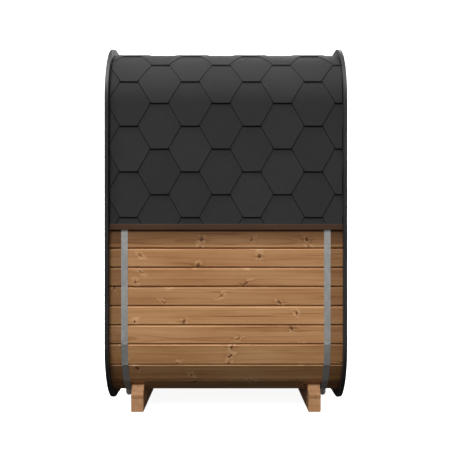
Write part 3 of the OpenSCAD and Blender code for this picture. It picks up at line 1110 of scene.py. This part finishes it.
def door_handles():
    """A wooden bar on two turned posts, on each face of the leaf."""
    low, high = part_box("door_handles")
    y, z = (low.y + high.y) / 2, (low.z + high.z) / 2
    pieces = Pieces()
    for face, far, front in ((leaf_high.x, high.x, True), (leaf_low.x, low.x, False)):
        x0, x1 = sorted((far, far - HANDLE_BAR if front else far + HANDLE_BAR))
        post(pieces, (x0, low.y, low.z), (x1, high.y, high.z), HANDLE_EDGE)
        reach = abs(far - face) - HANDLE_BAR / 2
        foot, top = 1.25 * HANDLE_POST, 1.1 * HANDLE_POST
        profile = [(0, foot), (2 * MM, foot), (5 * MM, HANDLE_POST), (reach - 4 * MM, HANDLE_POST)]
        profile.append((reach, top))
        for dz in (-HANDLE_POST_Z, HANDLE_POST_Z):
            pieces.take(turned(profile), facing(face, y, z + dz, front))
    pieces.make("door_handle_bars", DOOR, "door_handles", slot="door_wood")


def hinge_pin(z0, y, x):
    """The knuckles of a hinge whose lower end is at z0."""
    profile = [(z0, 0)]
    for i in range(HINGE_KNUCKLES):
        a, b = z0 + HINGE * i / HINGE_KNUCKLES, z0 + HINGE * (i + 1) / HINGE_KNUCKLES
        profile += [(a, HINGE_RADIUS - HINGE_EDGE), (a + HINGE_EDGE, HINGE_RADIUS)]
        profile += [(b - HINGE_EDGE, HINGE_RADIUS), (b, HINGE_RADIUS - HINGE_EDGE)]
    profile.append((z0 + HINGE, 0))
    bm = turned(profile)
    for v in bm.verts:
        v.co.y += y
        v.co.z -= x
    return bm


def door_hinges():
    """Three hinges, each of a pin, a plate on the frame, and a plate on the leaf with its flange."""
    low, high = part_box("door_hinges")
    pin = leaf_high.y + LEAF_GAP / 2
    edge = leaf_high.y - 0.2 * MM
    # The Y limits of each plate, the face it lies on, and its screws' distance from its middle.
    plates = ((low.y, edge, leaf_high.x, -8 * MM), (pin, high.y, frame_high.x, 6 * MM))
    pieces = Pieces()
    for z in (low.z + HINGE / 2, (low.z + high.z) / 2, high.z - HINGE / 2):
        z0, z1 = z - HINGE / 2, z + HINGE / 2
        pieces.take(hinge_pin(z0, pin, frame_high.x + HINGE_RADIUS), UPRIGHT)
        for y0, y1, x, aside in plates:
            post(pieces, (x, y0, z0), (x + HINGE_PLATE, y1, z1), HINGE_EDGE)
            for dz in (-HINGE_SCREW_Z, 0, HINGE_SCREW_Z):
                place = facing(x + HINGE_PLATE, (y0 + y1) / 2 + aside, z + dz)
                pieces.take(screw_head(HINGE_SCREW), place)
        post(pieces, (leaf_high.x, leaf_high.y - HINGE_PLATE, z0),
             (frame_high.x + HINGE_RADIUS, edge, z1), 0.5 * MM)
    pieces.make("hinge_set", FITTING, "door_hinges", slot="hinge_steel")


door_leaf()
door_frame()
door_handles()
door_hinges()

# ---- Straps ----


def coat(node, material):
    """Gives a node of the frame its material, and keeps its shape."""
    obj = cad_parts[node]
    obj.data.materials.clear()
    obj.data.materials.append(material)


for end in ("front", "back"):
    for part in ("strap", "strap_bottom", "strap_bolts"):
        coat(f"{end}_{part}", ZINC)

# ---- Studio ----

GLOW = 0.92  # of the backdrop
FLOOR_RADIUS = 20.0
BEND_RADIUS = 10.0  # between the floor and the wall
WALL_TOP = 40.0
BEND_STEP = 10  # in degrees
BOWL_SIDES = 48
BELOW, LEVEL, ABOVE = 0.04, 0.42, 0.60  # brightness of the sky under, at and over the horizon


def bowl():
    """A round floor that turns up into a wall."""
    profile = [(0.0, 0.0), (0.0, FLOOR_RADIUS)]
    for degrees in range(BEND_STEP, 91, BEND_STEP):
        a = math.radians(degrees)
        profile.append((BEND_RADIUS * (1 - math.cos(a)), FLOOR_RADIUS + BEND_RADIUS * math.sin(a)))
    profile.append((WALL_TOP, FLOOR_RADIUS + BEND_RADIUS))
    bm = turned(profile, BOWL_SIDES, closed=False)
    bm.transform(UP_LONG)
    return bm


def studio():
    """A pale floor and a pale wall far out. The cabin isn't lit by them."""
    s = Shader("studio_backdrop")
    cloud = s.noise(s.add("TexCoord").outputs["Object"], 0.6, 2.0)
    colour = s.ramp(cloud, (0.3, 0.78), (0.7, 0.80))
    s.finish(colour, 0.9, Emission_Color=(1, 1, 1), Emission_Strength=GLOW, Specular_IOR_Level=0.0)
    mesh = bpy.data.meshes.new("studio_backdrop")
    bm = bowl()
    bm.to_mesh(mesh)
    bm.free()
    mesh.polygons.foreach_set("use_smooth", [True] * len(mesh.polygons))
    mesh.materials.append(s.material)
    backdrop = bpy.data.objects.new("studio_backdrop", mesh)
    link(backdrop)
    backdrop.visible_diffuse = False
    backdrop.visible_glossy = False
    backdrop.visible_shadow = False


def studio_world():
    """Soft light from all round, growing towards the top, and hardly any from below."""
    world = bpy.data.worlds.new("studio")
    world.use_nodes = True
    bpy.context.scene.world = world
    tree = world.node_tree
    back = tree.nodes["Background"]
    coord = tree.nodes.new("ShaderNodeTexCoord")
    split = tree.nodes.new("ShaderNodeSeparateXYZ")
    ramp = tree.nodes.new("ShaderNodeValToRGB")
    tree.links.new(coord.outputs["Generated"], split.inputs[0])
    tree.links.new(split.outputs[2], ramp.inputs[0])
    marks = ramp.color_ramp.elements
    marks[0].color = (BELOW, BELOW, BELOW, 1)
    marks[1].color = (ABOVE, ABOVE, ABOVE, 1)
    marks.new(0.02).color = (LEVEL, LEVEL, LEVEL, 1)
    tree.links.new(ramp.outputs[0], back.inputs["Color"])


def sun(name, towards, strength, angle):
    """A far light. towards is where it comes from, and angle is how wide it looks, in degrees."""
    data = bpy.data.lights.new(name, "SUN")
    data.energy = strength
    data.angle = math.radians(angle)
    light = bpy.data.objects.new(name, data)
    light.rotation_euler = Vector(towards).to_track_quat("Z", "Y").to_euler()
    link(light)


studio()
studio_world()
sun("key", (-0.25, -1.0, 1.22), 2.35, 16)
sun("top", (-1.8, -1.0, 6.0), 1.2, 8)
sun("right_fill", (0.3, 1.0, 0.6), 1.7, 25)
sun("front_fill", (1.0, 0.06, 0.35), 2.0, 20)
sun("back_fill", (-1.0, 0.06, 0.35), 2.0, 20)

# ---- Camera ----

CAMERA_DISTANCE = 4.652  # from the nearest trim
CAMERA_HEIGHT = 1.155
camera_data = bpy.data.cameras.new("camera")
camera_data.sensor_width = 36
camera_data.lens = 61.6
camera_data.shift_x = -0.002
camera_data.shift_y = 0.0022
camera_data.clip_end = 200
camera = bpy.data.objects.new("camera", camera_data)
camera.location = (0, cad_box[0].y - CAMERA_DISTANCE, CAMERA_HEIGHT)
camera.rotation_euler = (math.radians(90), 0, 0)
link(camera)
bpy.context.scene.camera = camera
bpy.context.scene.view_settings.view_transform = "Standard"
